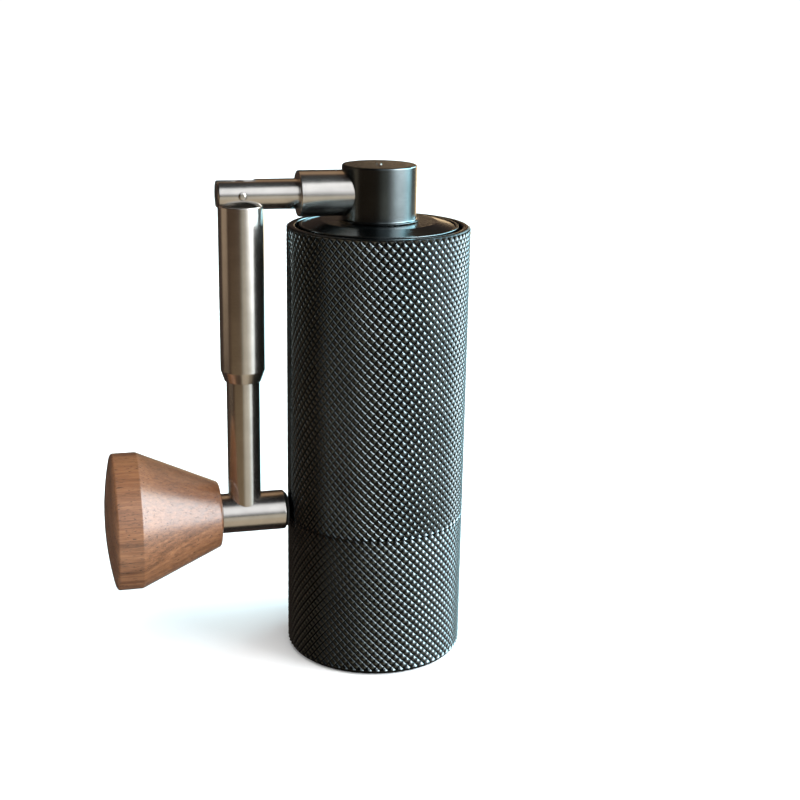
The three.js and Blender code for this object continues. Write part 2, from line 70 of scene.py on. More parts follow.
ARM_R, SLEEVE_R, SLEEVE_BORE_R, SLEEVE_MOUTH_R, SLEEVE_Z = 4.19, 5.58, 4.32, 4.5, (74.0, 117.85)
CROSS_Z, CROSS_R, CROSS_T = 38.64, 5.07, (24.2, 40.85)
KNOB_FACE, KNOB_R, KNOB_APEX = 41.15, 17.25, 70.0

# ------------------------------------------------------------------ mesh builders


def filleted(outline, radius, closed):
    """Rounds each corner of an outline of (r, z) or (r, z, radius) points."""
    n = len(outline)
    out = []
    for i, p in enumerate(outline):
        f = p[2] if len(p) > 2 else radius
        if not closed and i in (0, n - 1):
            out.append((p[0], p[1]))
            continue
        a, b = outline[i - 1], outline[(i + 1) % n]
        P, A, B = Vector(p[:2]), Vector(a[:2]), Vector(b[:2])
        d1, d2 = A - P, B - P
        l1, l2 = d1.length, d2.length
        if l1 < 1e-6 or l2 < 1e-6:
            continue
        d1, d2 = d1 / l1, d2 / l2
        ang = math.acos(max(-1, min(1, d1.dot(d2))))
        turn = math.pi - ang
        if f <= 0 or turn < math.radians(4) or p[0] == 0:
            out.append((p[0], p[1]))
            continue
        t = min(f / math.tan(ang / 2), 0.46 * l1, 0.46 * l2)
        r = t * math.tan(ang / 2)
        bis = (d1 + d2).normalized()
        c = P + bis * (r / math.sin(ang / 2))
        v1, v2 = P + d1 * t - c, P + d2 * t - c
        steps = max(2, math.ceil(math.degrees(turn) / 18))
        cr = v1.x * v2.y - v1.y * v2.x
        total = math.copysign(turn, cr)
        for k in range(steps + 1):
            w = total * k / steps
            v = Vector((v1.x * math.cos(w) - v1.y * math.sin(w), v1.x * math.sin(w) + v1.y * math.cos(w)))
            out.append((max(c.x + v.x, 0.0), c.y + v.y))
    return out


def finish_mesh(bm, name, smooth_angle=32):
    bmesh.ops.recalc_face_normals(bm, faces=bm.faces)
    me = bpy.data.meshes.new(name)
    bm.to_mesh(me)
    bm.free()
    me.shade_smooth()
    me.set_sharp_from_angle(angle=math.radians(smooth_angle))
    ob = bpy.data.objects.new(name, me)
    scene.collection.objects.link(ob)
    return ob


def lathe(name, outline, radius=0.12, n=96, smooth_angle=32, shift=None):
    """A revolved solid about local Z. An outline that starts and ends at r = 0 is open, any other closes on itself."""
    closed = not (outline[0][0] == 0 and outline[-1][0] == 0)
    pts = filleted(outline, radius, closed)
    bm = bmesh.new()
    rings = []
    for r, z in pts:
        if r < 1e-7:
            rings.append([bm.verts.new((0, 0, z * MM))])
            continue
        row = []
        for k in range(n):
            a = TAU * k / n
            rr = r + (shift(r, z, a) if shift else 0.0)
            row.append(bm.verts.new((rr * math.cos(a) * MM, rr * math.sin(a) * MM, z * MM)))
        rings.append(row)
    pairs = list(zip(rings, rings[1:]))
    if closed:
        pairs.append((rings[-1], rings[0]))
    for a, b in pairs:
        for k in range(n):
            k2 = (k + 1) % n
            if len(a) == 1 and len(b) == 1:
                continue
            if len(a) == 1:
                bm.faces.new((a[0], b[k], b[k2]))
            elif len(b) == 1:
                bm.faces.new((a[k], b[0], a[k2]))
            else:
                bm.faces.new((a[k], b[k], b[k2], a[k2]))
    return finish_mesh(bm, name, smooth_angle)


def box_cutter(x0, x1, y0, y1, z0, z1):
    bm = bmesh.new()
    bmesh.ops.create_cube(bm, size=1.0)
    for v in bm.verts:
        v.co = Vector((
            ((x0 + x1) / 2 + v.co.x * (x1 - x0)) * MM,
            ((y0 + y1) / 2 + v.co.y * (y1 - y0)) * MM,
            ((z0 + z1) / 2 + v.co.z * (z1 - z0)) * MM,
        ))
    return finish_mesh(bm, "cutter")


def prism_cutter(sides, r, z0, z1, phase=0.0):
    bm = bmesh.new()
    lo = [bm.verts.new((r * math.cos(TAU * k / sides + phase) * MM, r * math.sin(TAU * k / sides + phase) * MM, z0 * MM)) for k in range(sides)]
    hi = [bm.verts.new((r * math.cos(TAU * k / sides + phase) * MM, r * math.sin(TAU * k / sides + phase) * MM, z1 * MM)) for k in range(sides)]
    bm.faces.new(lo[::-1])
    bm.faces.new(hi)
    for k in range(sides):
        k2 = (k + 1) % sides
        bm.faces.new((lo[k], lo[k2], hi[k2], hi[k]))
    return finish_mesh(bm, "cutter")


def place(ob, rx=0, ry=0, rz=0, x=0, y=0, z=0):
    """Moves the mesh itself, in millimetres and radians, as three.js's XYZ Euler order does."""
    m = (
        Matrix.Translation(Vector((x, y, z)) * MM)
        @ Matrix.Rotation(rx, 4, "X")
        @ Matrix.Rotation(ry, 4, "Y")
        @ Matrix.Rotation(rz, 4, "Z")
    )
    ob.data.transform(m)
    return ob


def drop(ob):
    me = ob.data
    bpy.data.objects.remove(ob, do_unlink=True)
    if me.users == 0:
        bpy.data.meshes.remove(me)


def bake(ob):
    """Applies the object's modifiers to its mesh."""
    bpy.context.view_layer.update()
    dg = bpy.context.evaluated_depsgraph_get()
    new = bpy.data.meshes.new_from_object(ob.evaluated_get(dg))
    old = ob.data
    ob.modifiers.clear()
    ob.data = new
    new.name = ob.name
    bpy.data.meshes.remove(old)
    return ob


def boolean(ob, others, how="DIFFERENCE"):
    for o in others:
        m = ob.modifiers.new("cut", "BOOLEAN")
        m.operation, m.solver, m.object = how, "EXACT", o
    bake(ob)
    for o in others:
        drop(o)
    return ob


def soften(ob, width=0.08, angle=35, smooth_angle=32):
    """Small rounded edges after a cut."""
    m = ob.modifiers.new("edges", "BEVEL")
    m.width, m.segments, m.limit_method = width * MM, 2, "ANGLE"
    m.angle_limit = math.radians(angle)
    m.use_clamp_overlap = True
    m.miter_outer = "MITER_ARC"
    bake(ob)
    ob.data.shade_smooth()
    ob.data.set_sharp_from_angle(angle=math.radians(smooth_angle))
    return ob


def joined(name, obs):
    """Several closed shells of one piece in one mesh."""
    bm = bmesh.new()
    for o in obs:
        me = o.data.copy()
        me.transform(o.matrix_world)
        bm.from_mesh(me)
        bpy.data.meshes.remove(me)
    for o in obs:
        drop(o)
    ob = finish_mesh(bm, name)
    return ob


OUTWARD = Matrix.Rotation(-math.pi / 2, 4, "Y")


def outward(ob, z):
    """Lays a piece that was built about local Z along -X at height z. Its own axes stay those of the piece."""
    ob.matrix_world = Matrix.Translation(Vector((0, 0, z * MM))) @ OUTWARD
    return ob


def at(ob, x=0, y=0, z=0):
    ob.matrix_world = Matrix.Translation(Vector((x, y, z)) * MM)
    return ob


def ball_mesh(r, x, y, z, u=24, v=14):
    bm = bmesh.new()
    bmesh.ops.create_uvsphere(bm, u_segments=u, v_segments=v, radius=r * MM)
    bmesh.ops.translate(bm, verts=bm.verts, vec=Vector((x, y, z)) * MM)
    return finish_mesh(bm, "ball")


def swept(name, points, wire, sides=14):
    """A round wire along points, in millimetres, with rounded ends."""
    bm = bmesh.new()
    rows = []
    up = Vector((0, 0, 1))
    n = len(points)
    for i, p in enumerate(points):
        a, b = points[max(i - 1, 0)], points[min(i + 1, n - 1)]
        t = (b - a).normalized()
        side = t.cross(up).normalized()
        nor = side.cross(t).normalized()
        rows.append((p, side, nor, t))
    caps = [(-0.95, 0.30), (-0.7, 0.72), (-0.3, 0.95)]
    rings = []

    def ring(p, side, nor, r):
        return [bm.verts.new((p + side * (r * math.cos(TAU * k / sides)) + nor * (r * math.sin(TAU * k / sides))) * MM) for k in range(sides)]

    p, s, m, t = rows[0]
    first = bm.verts.new((p - t * 0.0) * MM)
    for off, sc in caps:
        rings.append(ring(p + t * ((1 + off) * wire * 0.5), s, m, wire * sc))
    for p, s, m, t in rows[1:-1]:
        rings.append(ring(p, s, m, wire))
    p, s, m, t = rows[-1]
    for off, sc in reversed(caps):
        rings.append(ring(p - t * ((1 + off) * wire * 0.5), s, m, wire * sc))
    last = bm.verts.new(p * MM)
    for a, b in zip(rings, rings[1:]):
        for k in range(sides):
            k2 = (k + 1) % sides
            bm.faces.new((a[k], a[k2], b[k2], b[k]))
    for k in range(sides):
        k2 = (k + 1) % sides
        bm.faces.new((first, rings[0][k2], rings[0][k]))
        bm.faces.new((last, rings[-1][k], rings[-1][k2]))
    return finish_mesh(bm, name, 60)


def coil_points(r, wire, z0, z1, turns, per_turn):
    """A compression spring's line, with closed end coils."""
    z0, z1 = z0 + wire, z1 - wire
    step = 2 * wire * 1.15
    out = []
    count = int(round(turns * per_turn))
    for i in range(count + 1):
        k = turns * i / count
        if k < 1:
            z = z0 + step * k
        elif k > turns - 1:
            z = z1 - step * (turns - k)
        else:
            z = z0 + step + (z1 - z0 - 2 * step) * (k - 1) / (turns - 2)
        out.append(Vector((r * math.cos(TAU * k), r * math.sin(TAU * k), z)))
    return out


# ------------------------------------------------------------------ the knurl
DEPTH = 0.43  # of the grooves


def knurled(name, turn, rows, drift, z0, z1, top, bottom):
    """A tube whose outside is cut into diamonds from z0 to z1: turn diamonds in one turn, rows half diamonds high.
    The two sets of grooves don't climb quite alike, so each half row stands a little to the side of the one below it:
    drift is that step, as a share of a diamond.
    top runs from the knurl's upper edge and bottom from its lower edge; both are (r, z) lists that meet on the inside,
    or at r = 0."""
    bm = bmesh.new()
    hz = (z1 - z0) / rows
    half = TAU / (2 * turn)

    def put(i, j, r):
        a = i * half - j * drift * 2 * half
        return bm.verts.new((r * math.cos(a) * MM, r * math.sin(a) * MM, (z0 + j * hz) * MM))

    root = BODY_R - DEPTH
    corner = {}

    def c(i, j):
        i %= 2 * turn
        if (i, j) not in corner:
            corner[i, j] = put(i, j, root)
        return corner[i, j]

    # how far from the centre each ring of a diamond lies, and its height over the groove
    levels = [(0.96, 0.016), (0.87, 0.095), (0.68, 0.225), (0.46, 0.335), (0.26, 0.397), (0.10, DEPTH - 0.004)]
    edge_low, edge_high = {}, {}
    for j in range(rows + 1):
        for i in range(2 * turn):
            if (i + j) % 2 == 0:
                continue
            dirs = [(1, 0), (0, 1), (-1, 0), (0, -1)]
            if j == 0:
                dirs = [(1, 0), (0, 1), (-1, 0)]
            elif j == rows:
                dirs = [(-1, 0), (0, -1), (1, 0)]
            full = len(dirs) == 4
            outer = [c(i + di, j + dj) for di, dj in dirs]
            rings = [outer]
            for s, h in levels:
                rings.append([put(i + di * s, j + dj * s, root + h) for di, dj in dirs])
            mid = put(i, j, BODY_R)
            m = len(dirs)
            for a, b in zip(rings, rings[1:]):
                for k in range(m if full else m - 1):
                    k2 = (k + 1) % m
                    bm.faces.new((a[k], a[k2], b[k2], b[k]))
            last = rings[-1]
            for k in range(m if full else m - 1):
                bm.faces.new((last[k], last[(k + 1) % m], mid))
            if not full:
                # the cut edge, in order of rising angle, from its left corner up to the one before the right corner
                left = 2 if j == 0 else 0
                right = 0 if j == 0 else 2
                line = [r[left] for r in rings] + [mid] + [r[right] for r in reversed(rings)]
                (edge_low if j == 0 else edge_high)[i] = line[:-1]

    def loop_of(edge):
        out = []
        for i in sorted(edge):
            out += edge[i]
        return out

    def run(start, pts):
        angles = [math.atan2(v.co.y, v.co.x) for v in start]
        count = len(start)
        prev = start
        for r, z in pts:
            if r < 1e-7:
                v = bm.verts.new((0, 0, z * MM))
                for k in range(count):
                    bm.faces.new((prev[k], prev[(k + 1) % count], v))
                return None
            row = [bm.verts.new((r * math.cos(a) * MM, r * math.sin(a) * MM, z * MM)) for a in angles]
            for k in range(count):
                k2 = (k + 1) % count
                bm.faces.new((prev[k], prev[k2], row[k2], row[k]))
            prev = row
        return prev

    a = run(loop_of(edge_high), top)
    b = run(loop_of(edge_low), bottom)
    if a and b:
        # the upper ring starts at another angle than the lower one, so it is counted from its nearest corner
        count = len(a)
        shift = min(range(count), key=lambda k: (a[k].co.xy - b[0].co.xy).length)
        for k in range(count):
            k2 = (k + 1) % count
            bm.faces.new((a[(k + shift) % count], a[(k2 + shift) % count], b[k2], b[k]))
    elif a or b:
        raise ValueError("both ends of a solid must meet")
    ob = finish_mesh(bm, name, 50)
    w = ob.modifiers.new("normals", "WEIGHTED_NORMAL")
    w.keep_sharp = True
    w.weight = 60
    return bake(ob)


# ------------------------------------------------------------------ materials
class Nodes:
    """A small helper to write node trees."""

    def __init__(self, name):
        self.mat = bpy.data.materials.new(name)
        self.mat.use_nodes = True
        self.t = self.mat.node_tree
        self.t.nodes.clear()
        self.out = self.t.nodes.new("ShaderNodeOutputMaterial")
        self.bsdf = self.t.nodes.new("ShaderNodeBsdfPrincipled")
        self.t.links.new(self.bsdf.outputs[0], self.out.inputs[0])
        tc = self.t.nodes.new("ShaderNodeTexCoord")
        self.pos = self.vec("SCALE", tc.outputs["Object"], scale=1000.0)  # millimetres

    def link(self, a, b):
        self.t.links.new(a, b)

    def set(self, sock, value):
        if isinstance(value, bpy.types.NodeSocket):
            self.link(value, sock)
        elif isinstance(value, (tuple, list)) and len(value) == 3 and sock.type == "RGBA":
            sock.default_value = (*value, 1.0)
        else:
            sock.default_value = value

    def vec(self, op, a, b=None, scale=None):
        n = self.t.nodes.new("ShaderNodeVectorMath")
        n.operation = op
        self.set(n.inputs[0], a)
        if b is not None:
            self.set(n.inputs[1], b)
        if scale is not None:
            self.set(n.inputs["Scale"], scale)
        return n.outputs["Value"] if op in ("LENGTH", "DOT_PRODUCT") else n.outputs[0]

    def math(self, op, a, b=None, clamp=False):
        n = self.t.nodes.new("ShaderNodeMath")
        n.operation = op
        n.use_clamp = clamp
        self.set(n.inputs[0], a)
        if b is not None:
            self.set(n.inputs[1], b)
        return n.outputs[0]

    def xyz(self, v):
        n = self.t.nodes.new("ShaderNodeSeparateXYZ")
        self.set(n.inputs[0], v)
        return n.outputs

    def combine(self, x, y, z):
        n = self.t.nodes.new("ShaderNodeCombineXYZ")
        for s, v in zip(n.inputs, (x, y, z)):
            self.set(s, v)
        return n.outputs[0]

    def noise(self, v, scale, detail=2.0, rough=0.5, distortion=0.0, color=False):
        n = self.t.nodes.new("ShaderNodeTexNoise")
        self.set(n.inputs["Vector"], v)
        n.inputs["Scale"].default_value = scale
        n.inputs["Detail"].default_value = detail
        n.inputs["Roughness"].default_value = rough
        n.inputs["Distortion"].default_value = distortion
        return n.outputs["Color" if color else "Fac"]

    def voronoi(self, v, scale, feature="F1", out="Distance", randomness=1.0):
        n = self.t.nodes.new("ShaderNodeTexVoronoi")
        n.feature = feature
        self.set(n.inputs["Vector"], v)
        n.inputs["Scale"].default_value = scale
        n.inputs["Randomness"].default_value = randomness
        return n.outputs[out]

    def range(self, v, a, b, c=0.0, d=1.0, smooth=True):
        n = self.t.nodes.new("ShaderNodeMapRange")
        n.interpolation_type = "SMOOTHSTEP" if smooth else "LINEAR"
        self.set(n.inputs["Value"], v)
        for s, x in zip(("From Min", "From Max", "To Min", "To Max"), (a, b, c, d)):
            n.inputs[s].default_value = x
        return n.outputs[0]

    def mix(self, f, a, b, how="MIX"):
        n = self.t.nodes.new("ShaderNodeMix")
        n.data_type = "RGBA"
        n.blend_type = how
        self.set(n.inputs["Factor"], f)
        self.set(n.inputs[6], a)
        self.set(n.inputs[7], b)
        return n.outputs[2]

    def ramp(self, f, stops):
        n = self.t.nodes.new("ShaderNodeValToRGB")
        self.set(n.inputs[0], f)
        e = n.color_ramp.elements
        while len(e) < len(stops):
            e.new(0.5)
        for el, (p, c) in zip(e, stops):
            el.position = p
            el.color = (*c, 1.0)
        return n.outputs[0]

    def bump(self, height, distance, strength=1.0, normal=None):
        n = self.t.nodes.new("ShaderNodeBump")
        self.set(n.inputs["Height"], height)
        n.inputs["Strength"].default_value = strength
        n.inputs["Distance"].default_value = distance * MM
        if normal is not None:
            self.link(normal, n.inputs["Normal"])
        return n.outputs[0]

    def shader(self, **values):
        names = {
            "color": "Base Color", "metallic": "Metallic", "roughness": "Roughness", "normal": "Normal",
            "coat": "Coat Weight", "coat_roughness": "Coat Roughness", "specular": "Specular IOR Level",
            "anisotropy": "Anisotropic", "ior": "IOR", "coat_ior": "Coat IOR", "coat_tint": "Coat Tint",
            "sheen": "Sheen Weight", "tangent": "Tangent", "subsurface": "Subsurface Weight", "tint": "Specular Tint",
        }
        for k, v in values.items():
            self.set(self.bsdf.inputs[names[k]], v)
        return self.mat

    def turned(self, per_mm=7.0, drift=0.35):
        """Fine marks that a lathe leaves: they run round the piece's own Z axis, on its sides and on its ends."""
        x, y, z = self.xyz(self.pos)
        r = self.vec("LENGTH", self.combine(x, y, 0.0))
        a = self.math("ARCTAN2", y, x)
        v = self.combine(self.math("MULTIPLY", r, per_mm), self.math("MULTIPLY", z, per_mm), self.math("MULTIPLY", a, drift))
        return self.noise(v, 1.0, 3.0, 0.6)


def steel_material(name, color=(0.60, 0.575, 0.54), rough=0.215, spread=0.12, marks=0.012, per_mm=7.0, aniso=0.0):
    m = Nodes(name)
    marks_f = m.turned(per_mm)
    cloud = m.noise(m.pos, 0.18, 3.0)
    fine = m.noise(m.pos, 2.4, 4.0, 0.7)
    rough_v = m.math("ADD", rough - spread * 0.5, m.math("MULTIPLY", m.math("ADD", m.math("MULTIPLY", marks_f, 0.65), m.math("MULTIPLY", cloud, 0.35)), spread))
    col = m.mix(m.range(cloud, 0.3, 0.75), tuple(c * 0.93 for c in color), tuple(min(1, c * 1.05) for c in color))
    col = m.mix(m.math("MULTIPLY", m.range(fine, 0.62, 0.78), 0.22), col, tuple(c * 0.6 for c in color))
    nor = m.bump(marks_f, marks, 0.6)
    return m.shader(color=col, metallic=1.0, roughness=rough_v, normal=nor, anisotropy=aniso)


def anodised_material(name, color=(0.100, 0.120, 0.126), rough=0.155, knurl=False, turned=0.0):
    m = Nodes(name)
    grain = m.noise(m.pos, 9.0, 4.0, 0.65)
    cloud = m.noise(m.pos, 0.12, 3.0, 0.55)
    x, y, z = m.xyz(m.pos)
    r = m.vec("LENGTH", m.combine(x, y, 0.0))
    col = m.mix(m.range(cloud, 0.25, 0.8), tuple(c * 0.86 for c in color), tuple(c * 1.12 for c in color))
    col = m.mix(m.math("MULTIPLY", m.range(grain, 0.45, 0.75), 0.3), col, tuple(c * 1.35 for c in color))
    rough_v = m.math("ADD", rough - 0.06, m.math("MULTIPLY", grain, 0.12))
    if knurl:
        # worn, brighter tips and painted shade in the grooves (the grooves also a little rougher), only where the
        # diamonds are
        side = m.range(r, BODY_R - 0.9, BODY_R - 0.7)
        tip = m.math("MULTIPLY", m.range(r, BODY_R - 0.10, BODY_R - 0.005), side)
        wear = m.math("MULTIPLY", tip, m.range(m.noise(m.pos, 0.35, 3.0), 0.35, 0.7))
        groove_shade_mask = m.math("MULTIPLY", m.range(r, BODY_R - DEPTH + 0.16, BODY_R - DEPTH + 0.01), side)
        col = m.mix(m.math("MULTIPLY", wear, 0.35), col, (0.24, 0.27, 0.28))
        # painted shade: the bottoms of the grooves are darkened to near black
        col = m.mix(m.math("MULTIPLY", groove_shade_mask, 0.85), col, (0.012, 0.014, 0.015))
        rough_v = m.math("ADD", rough_v, m.math("MULTIPLY", groove_shade_mask, 0.2))
        nor = m.bump(grain, 0.012, 0.5)
    else:
        nor = m.bump(grain, 0.014, 0.55)
        if turned:
            nor = m.bump(m.turned(6.0, 0.25), turned, 0.5, nor)
    return m.shader(color=col, metallic=1.0, roughness=rough_v, normal=nor, coat=0.02, coat_roughness=0.14)


def wood_material(name):
    m = Nodes(name)
    x, y, z = m.xyz(m.pos)
    warp = m.noise(m.combine(m.math("MULTIPLY", x, 0.09), m.math("MULTIPLY", y, 0.09), m.math("MULTIPLY", z, 0.02)), 1.0, 3.0, 0.5, color=True)
    wv = m.vec("SCALE", m.vec("SUBTRACT", warp, (0.5, 0.5, 0.5)), scale=9.0)
    wx, wy, wz = m.xyz(wv)
    gx = m.math("ADD", m.math("ADD", x, 31.0), wx)
    gy = m.math("ADD", m.math("ADD", y, -22.0), wy)
    rad = m.vec("LENGTH", m.combine(gx, gy, 0.0))
    ringpos = m.combine(m.math("MULTIPLY", rad, 0.62), 0.0, m.math("MULTIPLY", z, 0.012))
    rings = m.noise(ringpos, 1.0, 2.5, 0.55)
    # grain: long streaks along the knob's axis
    streak = m.noise(m.combine(m.math("MULTIPLY", x, 1.5), m.math("MULTIPLY", y, 1.5), m.math("MULTIPLY", z, 0.07)), 1.0, 4.0, 0.62)
    fibre = m.noise(m.combine(m.math("MULTIPLY", x, 7.0), m.math("MULTIPLY", y, 7.0), m.math("MULTIPLY", z, 0.35)), 1.0, 3.0, 0.6)
    # open pores: short dark dashes
    pore = m.noise(m.combine(m.math("MULTIPLY", x, 3.4), m.math("MULTIPLY", y, 3.4), m.math("MULTIPLY", z, 0.62)), 1.0, 1.5, 0.45)
    pores = m.range(pore, 0.635, 0.70)
    pores2 = m.range(m.noise(m.combine(m.math("MULTIPLY", x, 6.0), m.math("MULTIPLY", y, 6.0), m.math("MULTIPLY", z, 1.1)), 1.0, 1.0, 0.4), 0.66, 0.72)
    tone = m.math("ADD", m.math("MULTIPLY", rings, 0.55), m.math("MULTIPLY", streak, 0.45))
    col = m.ramp(tone, [(0.30, (0.024, 0.007, 0.003)), (0.41, (0.069, 0.024, 0.009)), (0.52, (0.141, 0.055, 0.022)), (0.66, (0.240, 0.106, 0.044))])
    col = m.mix(m.math("MULTIPLY", m.range(fibre, 0.35, 0.7), 0.35), col, (0.252, 0.115, 0.048))
    col = m.mix(m.math("MULTIPLY", pores, 0.72), col, (0.010, 0.004, 0.002))
    col = m.mix(m.math("MULTIPLY", pores2, 0.5), col, (0.020, 0.009, 0.005))
    height = m.math("SUBTRACT", m.math("MULTIPLY", fibre, 0.25), m.math("ADD", m.math("MULTIPLY", pores, 0.8), m.math("MULTIPLY", pores2, 0.5)))
    rough_v = m.math("ADD", 0.36, m.math("ADD", m.math("MULTIPLY", fibre, 0.10), m.math("MULTIPLY", pores, 0.25)))
    nor = m.bump(height, 0.06, 0.65)
    return m.shader(color=col, metallic=0.0, roughness=rough_v, normal=nor, coat=0.62, coat_roughness=0.26, specular=0.5)


def plain_material(name, color, rough, bump=0.02, scale=4.0, contrast=0.2, specular=0.5, metallic=0.0, coat=0.0):
    m = Nodes(name)
    g = m.noise(m.pos, scale, 4.0, 0.6)
    c = m.noise(m.pos, scale * 0.06, 2.0)
    col = m.mix(m.range(c, 0.25, 0.75), tuple(v * (1 - contrast) for v in color), tuple(min(1, v * (1 + contrast)) for v in color))
    col = m.mix(m.math("MULTIPLY", m.range(g, 0.55, 0.8), 0.3), col, tuple(v * 0.6 for v in color))
    r = m.math("ADD", rough - 0.07, m.math("MULTIPLY", g, 0.14))
    return m.shader(color=col, metallic=metallic, roughness=r, normal=m.bump(g, bump, 0.6), specular=specular, coat=coat, coat_roughness=0.3)


MAT = {
    "anodised": anodised_material("anodised_knurled", knurl=True),
    "anodised_smooth": anodised_material("anodised_satin", color=(0.092, 0.110, 0.114), rough=0.21, turned=0.010),
    "steel": steel_material("stainless_turned"),
    "burr_steel": steel_material("burr_steel", (0.50, 0.50, 0.49), 0.34, 0.2, 0.03, 3.0),
    "spring_steel": steel_material("spring_steel", (0.42, 0.42, 0.43), 0.30, 0.14, 0.012, 4.0),
    "aluminium": steel_material("turned_aluminium", (0.66, 0.665, 0.67), 0.36, 0.16, 0.03, 3.2),
    "walnut": wood_material("walnut"),
    "brass": steel_material("turned_brass", (0.70, 0.47, 0.19), 0.27, 0.14, 0.012, 5.0),
    "rubber": plain_material("black_rubber", (0.018, 0.018, 0.018), 0.72, 0.03, 6.0),
    "nylon": plain_material("moulded_nylon", (0.035, 0.037, 0.038), 0.48, 0.02, 5.0),
}

made = {}


def keep(ob, body, node, slot, also=()):
    ob.name = node + "_fine"
    ob.data.name = ob.name
    ob.data.materials.clear()
    ob.data.materials.append(MAT[slot])
    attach(ob, body)
    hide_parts(node, *also)
    made[node] = ob
    return ob


# ------------------------------------------------------------------ body
shell = knurled(
    "shell", 70, 66, 0.0639, 36.86, 111.93,
    [(BODY_R - DEPTH - 0.01, 112.03), (BODY_R - 0.52, 112.18), (BODY_R - 0.66, 112.27), (BODY_R - 0.84, 112.30),
     (BORE_R + 0.34, 112.30), (BORE_R + 0.14, 112.25), (BORE_R + 0.03, 112.12), (BORE_R, 111.95), (BORE_R, 91.45), (21.55, 91.38), (21.6, 91.3), (21.6, 90.3), (21.55, 90.22), (BORE_R, 90.15),
     (BORE_R, WAIST_Z[1] + 0.15), (BORE_R - 0.08, WAIST_Z[1]), (WAIST_R + 0.1, WAIST_Z[1]), (WAIST_R, WAIST_Z[1] - 0.1), (WAIST_R, WAIST_Z[0] + 0.1), (WAIST_R + 0.1, WAIST_Z[0]), (BORE_R - 0.08, WAIST_Z[0]),
     (BORE_R, WAIST_Z[0] - 0.15), (BORE_R, BODY_BOTTOM)],
    [(BODY_R - DEPTH - 0.03, 36.83), (BODY_R - DEPTH - 0.10, 36.81), (BORE_R + 0.15, 36.81)],
)
keep(shell, "body", "body_shell", "anodised")

cup = knurled(
    "cup", 69, 32, 0.0406, 1.02, 36.72,
    [(BODY_R - DEPTH - 0.03, 36.74), (BODY_R - DEPTH - 0.10, 36.76), (BORE_R + 0.12, 36.76), (BORE_R, 36.64), (BORE_R, 35.3), (21.28, 34.85), (21.3, 34.1), (20.92, 33.15), (20.92, 33.05), (21.3, 32.1),
     (20.92, 31.15), (20.92, 31.05), (21.3, 30.1), (21.3, 29.4), (20.9, 28.9), (20.9, 4.9), (20.75, 4.1), (20.3, 3.3), (19.6, 2.7), (18.7, 2.43), (18.2, 2.4), (9.0, 2.4), (0, 2.4)],
    [(BODY_R - DEPTH - 0.02, 0.92), (BODY_R - 0.48, 0.70), (BODY_R - 0.52, 0.42), (BODY_R - 0.64, 0.20), (BODY_R - 0.84, 0.06), (BODY_R - 1.10, 0.0),
     (19.6, 0.0), (19.45, 0.06), (19.38, 0.18), (19.2, 0.3), (18.9, 0.34), (0, 0.34)],
)
keep(cup, "cup", "catch_cup", "anodised")


def spoke_set(z0, z1, r0, r1, width):
    out = []
    for k in range(3):
        b = box_cutter(-width / 2, width / 2, r0, r1, z0, z1)
        place(b, rz=k * TAU / 3)
        out.append(b)
    return out


def boss_outline(z0, z1):
    return [(6.35, z0), (BOSS_R, z0), (BOSS_R, z1), (BEARING_R + 0.1, z1), (BEARING_R + 0.1, z0 + 0.6), (6.35, z0 + 0.6)]


neck = []
for k in range(2):
    z = HOUSING_Z[0] + 0.5 + k * 2.0
    neck += [(20.0, z), (20.6, z + 1.0)]
housing = lathe("housing", [(19.1, 29.6), *neck, (20.0, 34.9), (19.55, 34.9), (19.55, 36.2), (20.0, 36.2), (20.75, 37.2), (20.75, 61.7), (19.6, 61.7), (19.6, 58.0), (17.2, 52.1), (18.7, 52.1), (18.7, 38.0)], 0.1, 96)
boolean(housing, [lathe("b", boss_outline(55.75, 61.3), 0.0, 64)] + spoke_set(56.0, 61.0, BOSS_R - 0.8, 20.2, 4.4), "UNION")
keep(soften(housing, 0.15), "body", "burr_housing", "aluminium")

ring = lathe("ring", [(16.9, 35.8), (18.6, 35.8), (18.6, 37.9), (16.9, 37.9)], 0.15, 96)
boolean(ring, [box_cutter(-19, 19, -1.4, 1.4, 35.0, 36.6)])
keep(soften(ring, 0.08), "body", "burr_retaining_ring", "aluminium")

TEETH = 12


def toothed(name, rows, teeth, per=12, cap=True):
    """A cone with sharp-crested, hollow-rooted teeth. rows: (z, crest, root, twist)."""
    bm = bmesh.new()
    fine = []
    for (z0, c0, r0, t0), (z1, c1, r1, t1) in zip(rows, rows[1:]):
        steps = 4
        for s in range(steps):
            w = s / steps
            fine.append((z0 + (z1 - z0) * w, c0 + (c1 - c0) * w, r0 + (r1 - r0) * w, t0 + (t1 - t0) * w))
    fine.append(rows[-1])
    count = teeth * per
    rings = []
    for z, crest, root, tw in fine:
        row = []
        for k in range(count):
            u = (k % per) / per  # 0 at the crest
            if u < 1 / 3:
                w = u * 3
                h = 1 - (0.6 * w + 0.4 * w * w)
                h = 1 - 0.6 * w - 0.0
                h = (1 - w) * 1.0 + w * 0.4
            elif u < 2 / 3:
                w = (u - 1 / 3) * 3
                h = 0.4 * (1 - w)
            else:
                w = (u - 2 / 3) * 3
                h = w * w * 0.55 + w * 0.45
            if u == 0:
                h = 0.97
            r = root + (crest - root) * h
            a = TAU * k / count + tw
            row.append(bm.verts.new((r * math.cos(a) * MM, r * math.sin(a) * MM, z * MM)))
        rings.append(row)
    for a, b in zip(rings, rings[1:]):
        for k in range(count):
            k2 = (k + 1) % count
            bm.faces.new((a[k], a[k2], b[k2], b[k]))
    for row, z in ((rings[0], fine[0][0]), (rings[-1], fine[-1][0])):
        v = bm.verts.new((0, 0, z * MM))
        for k in range(count):
            bm.faces.new((row[k], row[(k + 1) % count], v))
    return finish_mesh(bm, name, 28)


